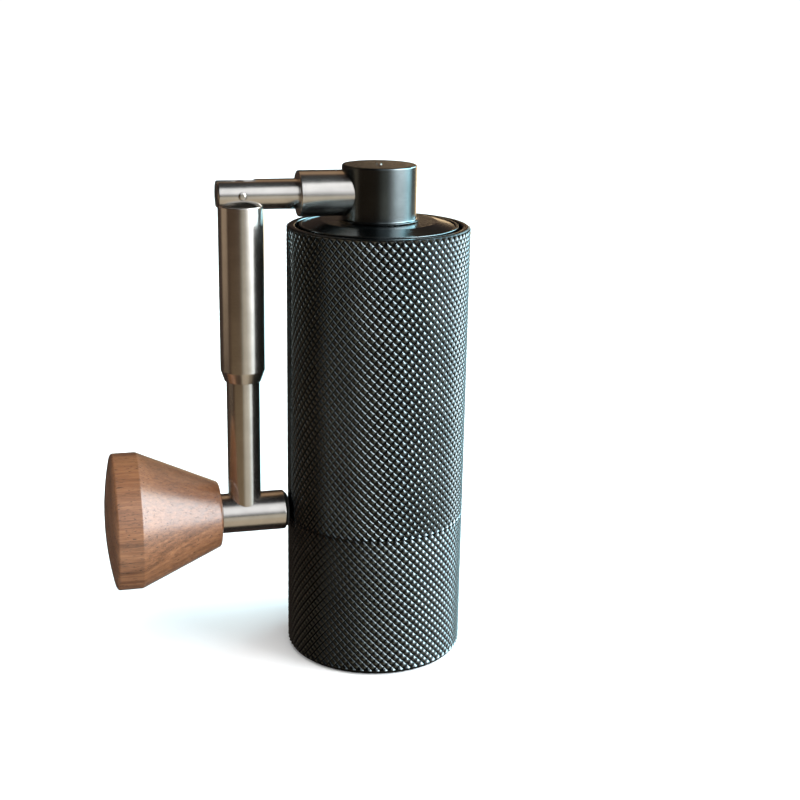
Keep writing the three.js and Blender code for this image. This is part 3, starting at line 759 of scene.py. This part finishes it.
core = toothed("core", [(37.5, 15.55, 16.35, 0.0), (41.0, 15.1, 15.9, 0.1), (45.5, 13.6, 15.2, 0.28), (49.0, 13.4, 16.0, 0.45), (52.5, 15.2, 16.6, 0.62)], TEETH)
outer = lathe("outer", [(10, 38.1), (18.58, 38.1), (18.58, 51.9), (10, 51.9)], 0.2, 96)
boolean(outer, [core])
keep(soften(outer, 0.05, 40, 28), "body", "outer_burr", "burr_steel")


def bearing(prefix, z0, z1):
    zm = (z0 + z1) / 2
    o = lathe("o", [(6.12, z0), (BEARING_R, z0, 0.3), (BEARING_R, z1, 0.3), (6.12, z1), (6.12, zm + 0.7), (6.28, zm), (6.12, zm - 0.7)], 0.08, 72)
    keep(o, "body", prefix + "_bearing_outer_race", "steel")
    i = lathe("i", [(3.6, z0, 0.2), (4.6, z0), (4.6, zm - 0.7), (4.5, zm), (4.6, zm + 0.7), (4.6, z1), (3.6, z1, 0.2)], 0.08, 72)
    keep(i, "shaft", prefix + "_bearing_inner_race", "steel")
    parts = [lathe("c", [(5.12, zm - 0.3), (5.62, zm - 0.3), (5.62, zm + 0.3), (5.12, zm + 0.3)], 0.1, 72)]
    for k in range(8):
        a = k * math.pi / 4
        parts.append(ball_mesh(0.68, 5.35 * math.cos(a), 5.35 * math.sin(a), zm))
    keep(joined("balls", parts), "body", prefix + "_bearing_balls_and_cage", "steel")


bearing("lower", *LOWER_BEARING_Z)
bearing("upper", *UPPER_BEARING_Z)

bridge = lathe("bridge", [(18.3, 84.2), (20.75, 84.2), (20.75, 90.0), (19.0, 90.0), (18.3, 89.0)], 0.2, 96)
boolean(bridge, [lathe("b", boss_outline(84.2, 89.6), 0.0, 64)] + spoke_set(84.5, 88.8, BOSS_R - 0.8, 19.2, 4.0), "UNION")
keep(soften(bridge, 0.3), "body", "upper_bearing_bridge", "nylon")


def snap(r0, r1, z0, z1, gap, n=96):
    o = lathe("snap", [(r0, z0), (r1, z0), (r1, z1), (r0, z1)], 0.0, n)
    boolean(o, [box_cutter(-gap / 2, gap / 2, 0, r1 + 2, z0 - 1, z1 + 1)])
    return soften(o, min(0.15, (z1 - z0) * 0.25))


keep(snap(19.4, 21.4, 90.35, 91.2, 9), "body", "bridge_snap_ring", "spring_steel")


def round_ring(R, r, z, n=96, m=16):
    return lathe("o_ring", [(R + r * math.cos(TAU * k / m), z + r * math.sin(TAU * k / m)) for k in range(m)], 0.0, n, 80)


keep(round_ring(20.15, 0.50, 35.55), "body", "cup_seal_ring", "rubber")

# ------------------------------------------------------------------ shaft
shaft = lathe("shaft", [(0, 26.2), (2.9, 26.2, 0.4), (2.9, 27.4), (2.4, 27.4), (2.4, 28.3), (2.9, 28.3), (2.9, 37.6), (SHAFT_R, 37.9), (SHAFT_R, 55.2), (3.0, 55.2), (3.0, 56.1), (SHAFT_R, 56.1), (SHAFT_R, 61.1),
                        (SHOULDER_R, 61.1), (SHOULDER_R, 84.8), (SHAFT_R, 84.8), (SHAFT_R, 89.5), (3.0, 89.5), (3.0, 90.4), (SHAFT_R, 90.4), (SHAFT_R, 104.2, 0.3), (0, 104.2)], 0.08, 64)
boolean(shaft, [box_cutter(-6, 6, 3.0, 6, 36, 55.0), box_cutter(-6, 6, -6, -3.0, 36, 55.0)])
hexa = prism_cutter(6, HEX_AF / math.sqrt(3), 103.9, SHAFT_TOP)
tip = lathe("tip", [(0, 103.0), (3.53, 103.0), (3.53, SHAFT_TOP - 0.5), (2.9, SHAFT_TOP), (0, SHAFT_TOP)], 0.0, 48)
boolean(hexa, [tip], "INTERSECT")
boolean(shaft, [hexa], "UNION")
keep(soften(shaft, 0.06), "shaft", "drive_shaft", "steel")
keep(snap(3.1, 5.0, 89.6, 90.25, 3.2, 64), "shaft", "upper_circlip", "spring_steel")
keep(snap(3.1, 5.0, 55.35, 56.0, 3.2, 64), "shaft", "lower_circlip", "spring_steel")
keep(lathe("w", [(3.7, 54.6), (5.7, 54.6), (5.7, 55.15), (3.7, 55.15)], 0.1, 64), "shaft", "spring_seat_washer", "steel")
keep(swept("spring", coil_points(4.75, 0.42, 48.35, 54.5, 4, 36), 0.42), "shaft", "burr_spring", "spring_steel")
keep(snap(2.5, 4.6, 27.55, 28.15, 2.6, 64), "shaft", "shaft_end_clip", "spring_steel")

cone = toothed("cone", [(37.6, 14.4, 14.0, 0.0), (38.4, 14.9, 14.1, -0.02), (41.0, 14.55, 13.7, -0.12), (45.0, 12.9, 10.9, -0.34), (49.0, 11.4, 8.5, -0.62), (52.5, 9.3, 7.6, -0.92), (53.8, 8.2, 7.4, -1.0)], TEETH)
bore = lathe("bore", [(0, 36), (3.7, 36), (3.7, 60), (0, 60)], 0.0, 64)
boolean(bore, [box_cutter(-6, 6, 3.2, 6, 35, 61), box_cutter(-6, 6, -6, -3.2, 35, 61)])
boolean(cone, [bore, lathe("recess", [(0, 48.1), (6.1, 48.1), (6.1, 60), (0, 60)], 0.0, 64)])
keep(soften(cone, 0.05, 40, 28), "burr", "inner_burr", "burr_steel")

dial = lathe("dial", [(3.15, 30.6, 0.3), (11.6, 30.6), (12.4, 31.4), (12.4, 35.6), (11.8, 36.2), (9.0, 36.2), (9.0, 37.2), (3.15, 37.2, 0.3)], 0.2, 96)
cuts = []
for k in range(12):
    a = k * math.pi / 6
    cuts.append(place(lathe("n", [(0, 29), (1.25, 29), (1.25, 36.9), (0, 36.9)], 0.0, 24), x=12.9 * math.cos(a), y=12.9 * math.sin(a)))
cuts.append(place(lathe("h", [(0, 33.0), (1.3, 33.0), (1.3, 40), (0, 40)], 0.0, 32), x=6.4))
boolean(dial, cuts)
keep(soften(dial, 0.12), "dial", "adjustment_dial", "nylon")
keep(at(ball_mesh(1.0, 0, 0, 0, 32, 20), 6.4, 0, 36.35), "dial", "click_ball", "steel")
spring = swept("s", coil_points(0.8, 0.2, 33.15, 35.2, 3, 24), 0.19, 10)
keep(at(spring, 6.4), "dial", "click_spring", "spring_steel")

# ------------------------------------------------------------------ lid
lid = lathe("lid", [
    (7.65, PLATEAU_Z, 0.15), (PLATEAU_R, PLATEAU_Z, 0.9), (19.1, 112.3, 0.06), (19.15, 111.9, 0.06), (19.25, LID_TOP, 0.10), (LID_R, LID_TOP, 0.18), (LID_R, 110.1), (19.1, 110.1), (19.1, 108.1), (LID_R, 108.1),
    (LID_R, 105.8, 0.4), (18.2, 105.8), (18.2, 110.4, 1.0), (13.9, 112.2, 0.6), (10.2, 112.2), (10.2, 110.6), (7.65, 110.6),
], 0.1, 160)
keep(lid, "lid", "lid", "anodised_smooth")
keep(round_ring(19.95, 0.70, 109.1), "lid", "lid_seal_ring", "rubber")
keep(lathe("bush", [(6.68, 109.7), (9.4, 109.7), (9.4, 110.4), (7.5, 110.4), (7.5, 113.45), (6.68, 113.45)], 0.08, 72), "lid", "lid_bush", "nylon")

# ------------------------------------------------------------------ crank
hub = lathe("hub", [
    (0, HUB_Z[1]), (HUB_R, HUB_Z[1], 0.42), (HUB_R, HUB_Z[0] + 0.16, 0.72), (HUB_FLARE_R, HUB_Z[0] + 0.14, 0.06), (HUB_FLARE_R, HUB_Z[0], 0.04), (SPIGOT_R, HUB_Z[0], 0.1), (SPIGOT_R, 109.0), (5.8, 109.0), (5.8, 107.9), (SPIGOT_R, 107.9), (SPIGOT_R - 0.4, SPIGOT_BOTTOM), (0, SPIGOT_BOTTOM),
], 0.1, 128)
side_hole = lathe("sh", [(0, -2.6), (ROD_R + 0.06, -2.6), (ROD_R + 0.06, 12), (0, 12)], 0.0, 64)
side_hole.data.transform(Matrix.Translation(Vector((0, 0, ARM_Z * MM))) @ OUTWARD)
boolean(hub, [prism_cutter(6, SOCKET_AF / math.sqrt(3), SPIGOT_BOTTOM - 1, 115.6), side_hole,
              lathe("ph", [(0, 115.0), (0.66, 115.0), (0.66, HUB_Z[1] - 0.12), (0.82, HUB_Z[1] + 0.1), (0.82, 129), (0, 129)], 0.0, 40)])
hub.data.shade_smooth()
hub.data.set_sharp_from_angle(angle=math.radians(32))
keep(hub, "crank", "crank_hub", "anodised_smooth")
keep(snap(6.02, 8.4, 108.1, 108.8, 6, 72), "crank", "hub_circlip", "spring_steel")

collar = lathe("collar", [(ROD_R + 0.06, 5), (COLLAR_R, 5, 0), (COLLAR_R, COLLAR_END, 0.35), (ROD_R + 0.06, COLLAR_END, 0.18)], 0.1, 96)
wall = lathe("wall", [(0, 100), (HUB_R + 0.04, 100), (HUB_R + 0.04, 140), (0, 140)], 0.0, 128)
wall.data.transform((Matrix.Translation(Vector((0, 0, ARM_Z * MM))) @ OUTWARD).inverted())
boolean(collar, [wall])
collar.data.shade_smooth()
collar.data.set_sharp_from_angle(angle=math.radians(32))
keep(outward(collar, ARM_Z), "crank", "crank_collar", "steel")

rod = lathe("rod", [(0, -2.3), (ROD_R, -2.3, 0.2), (ROD_R, ROD_END, 0.5), (0, ROD_END)], 0.1, 96)
to_rod = (Matrix.Translation(Vector((0, 0, ARM_Z * MM))) @ OUTWARD).inverted()
relief = place(lathe("relief", [(0, 110), (SLEEVE_R + 0.2, 110), (SLEEVE_R + 0.2, FORK_BOTTOM), (0, FORK_BOTTOM)], 0.0, 96), x=-PIVOT)
boolean(relief, [box_cutter(-60, -PIVOT, -10, 10, 110.001, FORK_BOTTOM)], "UNION")
boolean(relief, [place(lathe("boss", [(0, 105), (FORK_BOSS_R + 0.08, 105), (FORK_BOSS_R + 0.08, 130), (0, 130)], 0.0, 96), x=-PIVOT)])
cutters = [
    box_cutter(-60, -(PIVOT - 3.5), -FORK_SLOT / 2, FORK_SLOT / 2, 105, 130),
    relief,
    place(lathe("p", [(0, -10), (1.03, -10), (1.03, 10), (0, 10)], 0.0, 40), rx=math.pi / 2, x=-PIVOT, z=ARM_Z),
    lathe("q", [(0, 110), (0.66, 110), (0.66, 130), (0, 130)], 0.0, 32),
]
for c in cutters:
    c.data.transform(to_rod)
boolean(rod, cutters)
keep(outward(soften(rod, 0.10, 30), ARM_Z), "crank", "crank_rod", "steel")
keep(lathe("pin", [(0, 117.2), (0.6, 117.2), (0.6, HUB_Z[1] + 0.05, 0.12), (0.32, HUB_Z[1] + 0.12, 0.1), (0, HUB_Z[1] + 0.12)], 0.05, 40), "crank", "rod_lock_pin", "steel")
pin = lathe("fold_pin", [(0, -3.62), (0.55, -3.62, 0.2), (0.98, -3.48, 0.08), (0.98, 3.48, 0.08), (0.55, 3.62, 0.2), (0, 3.62)], 0.05, 48)
pin.matrix_world = Matrix.Translation(Vector((-PIVOT, 0, ARM_Z)) * MM) @ Matrix.Rotation(math.pi / 2, 4, "X")
keep(pin, "crank", "fold_pivot_pin", "steel")

# ------------------------------------------------------------------ folding arm
shoulder = ARM_Z - 6.8
arm = lathe("arm", [(0, 30), (ARM_R, 30), (ARM_R, shoulder, 0.5), (0, shoulder)], 0.0, 96)
eye = place(lathe("eye", [(0, -TONGUE / 2), (3.3, -TONGUE / 2), (3.3, TONGUE / 2), (0, TONGUE / 2)], 0.0, 64), rx=math.pi / 2, z=ARM_Z)
boolean(arm, [eye, box_cutter(-3.3, 3.3, -TONGUE / 2, TONGUE / 2, shoulder - 2, ARM_Z)], "UNION")
cross_hole = lathe("ch", [(0, 10), (CROSS_R + 0.02, 10), (CROSS_R + 0.02, 60), (0, 60)], 0.0, 96)
cross_hole.data.transform(Matrix.Translation(Vector((PIVOT * MM, 0, CROSS_Z * MM))) @ OUTWARD)
boolean(arm, [place(lathe("p", [(0, -10), (1.1, -10), (1.1, 10), (0, 10)], 0.0, 40), rx=math.pi / 2, z=ARM_Z), cross_hole, box_cutter(-15, 15, -10, 10, 20, CROSS_Z)])
keep(at(soften(arm, 0.07, 32), -PIVOT), "arm", "arm_rod", "steel")
keep(outward(lathe("cross", [
    (0, CROSS_T[0] + 3), (2.1, CROSS_T[0] + 3), (2.1, CROSS_T[0]), (CROSS_R, CROSS_T[0], 0.55), (CROSS_R, CROSS_T[1], 0.25), (2.6, CROSS_T[1]), (2.6, CROSS_T[1] - 6), (0, CROSS_T[1] - 6),
], 0.1, 96), CROSS_Z), "arm", "cross_rod", "steel")
keep(outward(lathe("pad", [(0, 23.4), (3.4, 23.42, 0.5), (4.2, 23.65, 0.3), (4.45, 24.05, 0.1), (2.0, 24.05), (2.0, 26.9), (0, 26.9)], 0.1, 72), CROSS_Z), "arm", "bumper_pad", "rubber")
keep(outward(lathe("spindle", [(0, 35.1), (2.45, 35.1, 0.35), (2.45, 55.7), (2.0, 55.7), (2.0, 56.6), (2.45, 56.6), (2.45, 58.2, 0.4), (0, 58.2)], 0.06, 64), CROSS_Z), "arm", "knob_spindle", "steel")
keep(outward(snap(2.1, 4.0, 55.85, 56.45, 2.4, 64), CROSS_Z), "arm", "spindle_clip", "spring_steel")
keep(outward(lathe("washer", [(2.6, 41.0), (4.7, 41.0), (4.7, 41.6), (2.6, 41.6)], 0.1, 64), CROSS_Z), "arm", "knob_thrust_washer", "brass")

# ------------------------------------------------------------------ locking sleeve
keep(at(lathe("sleeve", [
    (SLEEVE_BORE_R, SLEEVE_Z[0], 0.08), (4.62, SLEEVE_Z[0], 0.12), (SLEEVE_R, SLEEVE_Z[0] + 2.8, 0.5), (SLEEVE_R, SLEEVE_Z[1], 0.22), (SLEEVE_MOUTH_R, SLEEVE_Z[1], 0.06), (SLEEVE_BORE_R, SLEEVE_Z[1] - 0.3, 0.1),
    (SLEEVE_BORE_R, 81.0), (4.98, 81.0), (4.98, 79.8), (SLEEVE_BORE_R, 79.8),
], 0.08, 96), -PIVOT), "sleeve", "locking_sleeve", "steel")
keep(at(round_ring(4.6, 0.30, 80.4, 72, 12), -PIVOT), "sleeve", "sleeve_friction_ring", "rubber")

# ------------------------------------------------------------------ knob
dome = []
for k in range(13):
    r = 16.2 * k / 12
    dome.append((r, KNOB_APEX - (72 - math.sqrt(72 * 72 - r * r)), 0))
knob = lathe("knob", [
    *dome, (17.25, 67.65, 0.75), (KNOB_R, 61.6, 0.9), (8.75, 42.2, 1.3), (8.3, KNOB_FACE, 1.0), (5.0, KNOB_FACE, 0.2), (5.0, 41.8, 0.05), (4.5, 41.8, 0.05), (4.5, 59.0, 0.3), (0, 59.0),
], 0.1, 160, 24)
keep(outward(knob, CROSS_Z), "knob", "knob", "walnut")
keep(outward(lathe("kb", [(2.6, 41.9), (4.4, 41.9), (4.4, 55.6), (2.6, 55.6)], 0.12, 64), CROSS_Z), "knob", "knob_bush", "brass")

for ob in made.values():
    if ob.name in ("body_shell_fine", "catch_cup_fine"):
        continue
    w = ob.modifiers.new("normals", "WEIGHTED_NORMAL")
    w.keep_sharp = True
    w.weight = 60

# ------------------------------------------------------------------ floor, light
bm = bmesh.new()
bmesh.ops.create_circle(bm, cap_ends=True, radius=6.0, segments=96)
me = bpy.data.meshes.new("floor")
bm.to_mesh(me)
bm.free()
floor = bpy.data.objects.new("floor", me)
floor.location.z = -0.0002
scene.collection.objects.link(floor)
fm = Nodes("floor_paper")
fn = fm.noise(fm.pos, 0.05, 3.0)
floor.data.materials.append(fm.shader(color=fm.mix(fm.range(fn, 0.2, 0.8), (0.885, 0.885, 0.88), (0.92, 0.92, 0.915)), roughness=0.9, specular=0.1))
floor.visible_glossy = False


def area(name, loc, target, size, size_y, power, color):
    d = bpy.data.lights.new(name, "AREA")
    d.shape, d.size, d.size_y = "RECTANGLE", size, size_y
    d.energy, d.color = power, color
    o = bpy.data.objects.new(name, d)
    scene.collection.objects.link(o)
    o.location = loc
    o.rotation_mode = "QUATERNION"
    o.rotation_quaternion = (Vector(target) - Vector(loc)).to_track_quat("-Z", "Y")
    return o


top = area("top", (0.10, -0.40, 0.95), (0, 0, 0.06), 1.1, 1.1, 5.0, (1.0, 0.985, 0.96))
top.visible_glossy = False

world = bpy.data.worlds.new("studio")
scene.world = world
world.use_nodes = True
wt = world.node_tree
wt.nodes.clear()
W = Nodes.__new__(Nodes)
W.t = wt
wout = wt.nodes.new("ShaderNodeOutputWorld")
tc = wt.nodes.new("ShaderNodeTexCoord")
x, y, z = W.xyz(tc.outputs["Generated"])
deg = math.radians
az = W.math("ARCTAN2", x, W.math("MULTIPLY", y, -1.0))  # from the front, towards the right
el = W.math("ARCSINE", z)


def band(v, a0, a1, b1, b0):
    """Rises from a0 to a1 degrees and falls from b1 to b0."""
    return W.math("MULTIPLY", W.range(v, deg(a0), deg(a1)), W.range(v, deg(b0), deg(b1)))


# a dim room, brown behind and to the left
sky = W.mix(W.range(y, -0.3, 0.75), (0.018, 0.017, 0.017), (0.060, 0.042, 0.034))
tan_left = W.math("MULTIPLY", band(az, -128, -114, -86, -76), band(el, -17, -11, -4, 14))
sky = W.mix(tan_left, sky, (0.46, 0.34, 0.235))
brown_left = W.math("MULTIPLY", band(az, -86, -76, -22, 8), W.range(el, deg(12), deg(-4)))
sky = W.mix(brown_left, sky, (0.082, 0.050, 0.033))
# behind: brown, over a bright warm wall low down
brown_up = W.math("MULTIPLY", W.range(y, 0.0, 0.5), band(el, 34, 44, 58, 72))
sky = W.mix(brown_up, sky, (0.46, 0.30, 0.18))
brown_low = W.math("MULTIPLY", band(az, 132, 142, 160, 168), band(el, 5, 8, 11, 16))
sky = W.mix(brown_low, sky, (0.20, 0.125, 0.08))
gold = W.math("MULTIPLY", band(az, 128, 138, 162, 170), band(el, -13, -8, 1.5, 6))
sky = W.mix(gold, sky, (2.20, 1.58, 0.90))
# the table in front, dim on the left, then the dark underneath
table_left = W.math("MULTIPLY", band(az, -80, -60, -14, 6), band(el, -52, -36, -17, -12))
sky = W.mix(table_left, sky, (0.27, 0.195, 0.115))
table = W.math("MULTIPLY", band(az, -18, 4, 120, 140), band(el, -68, -40, -10, -4))
sky = W.mix(table, sky, W.mix(W.range(el, deg(-22), deg(-48)), (0.66, 0.61, 0.50), (0.36, 0.30, 0.22)))
foot = W.math("MULTIPLY", band(az, -24, -8, 24, 44), band(el, -70, -58, -34, -24))
sky = W.mix(foot, sky, (0.62, 0.53, 0.40))
# a tall, cool window on the right, and its light on the table's edge
glow = W.mix(W.range(az, deg(58), deg(98)), (12.5, 12.9, 13.4), (10.0, 16.5, 18.5))
window = W.math("MULTIPLY", band(az, 10, 54, 84, 106), band(el, -13, 4, 46, 60))
sky = W.mix(window, sky, glow)
window_right = W.math("MULTIPLY", band(az, 84, 106, 126, 142), band(el, 4, 15, 22, 34))
sky = W.mix(window_right, sky, glow)
near = W.math("MULTIPLY", band(az, 108, 124, 160, 172), band(el, -46, -26, -14, -11))
sky = W.mix(near, sky, (1.30, 2.10, 2.35))
sill = W.math("MULTIPLY", band(az, 24, 56, 84, 100), band(el, -30, -20, -12, -8))
sky = W.mix(sill, sky, (1.30, 1.50, 1.55))
# a softer panel above the front
panel = W.math("MULTIPLY", band(az, -24, -2, 22, 44), band(el, -5, 22, 40, 64))
sky = W.mix(panel, sky, (1.22, 1.25, 1.30))
base = sky
lp = wt.nodes.new("ShaderNodeLightPath")
bg_env = wt.nodes.new("ShaderNodeBackground")
wt.links.new(base, bg_env.inputs[0])
bg_env.inputs[1].default_value = 1.0
bg_soft = wt.nodes.new("ShaderNodeBackground")
bg_soft.inputs[0].default_value = (0.93, 0.94, 0.95, 1)
bg_soft.inputs[1].default_value = 0.92
mx0 = wt.nodes.new("ShaderNodeMixShader")
wt.links.new(lp.outputs["Is Diffuse Ray"], mx0.inputs[0])
wt.links.new(bg_env.outputs[0], mx0.inputs[1])
wt.links.new(bg_soft.outputs[0], mx0.inputs[2])
bg_cam = wt.nodes.new("ShaderNodeBackground")
bg_cam.inputs[0].default_value = (1.0, 1.0, 1.0, 1)
bg_cam.inputs[1].default_value = 1.05
mx = wt.nodes.new("ShaderNodeMixShader")
wt.links.new(lp.outputs["Is Camera Ray"], mx.inputs[0])
wt.links.new(mx0.outputs[0], mx.inputs[1])
wt.links.new(bg_cam.outputs[0], mx.inputs[2])
wt.links.new(mx.outputs[0], wout.inputs[0])

scene.view_settings.view_transform = "Standard"
scene.view_settings.look = "None"
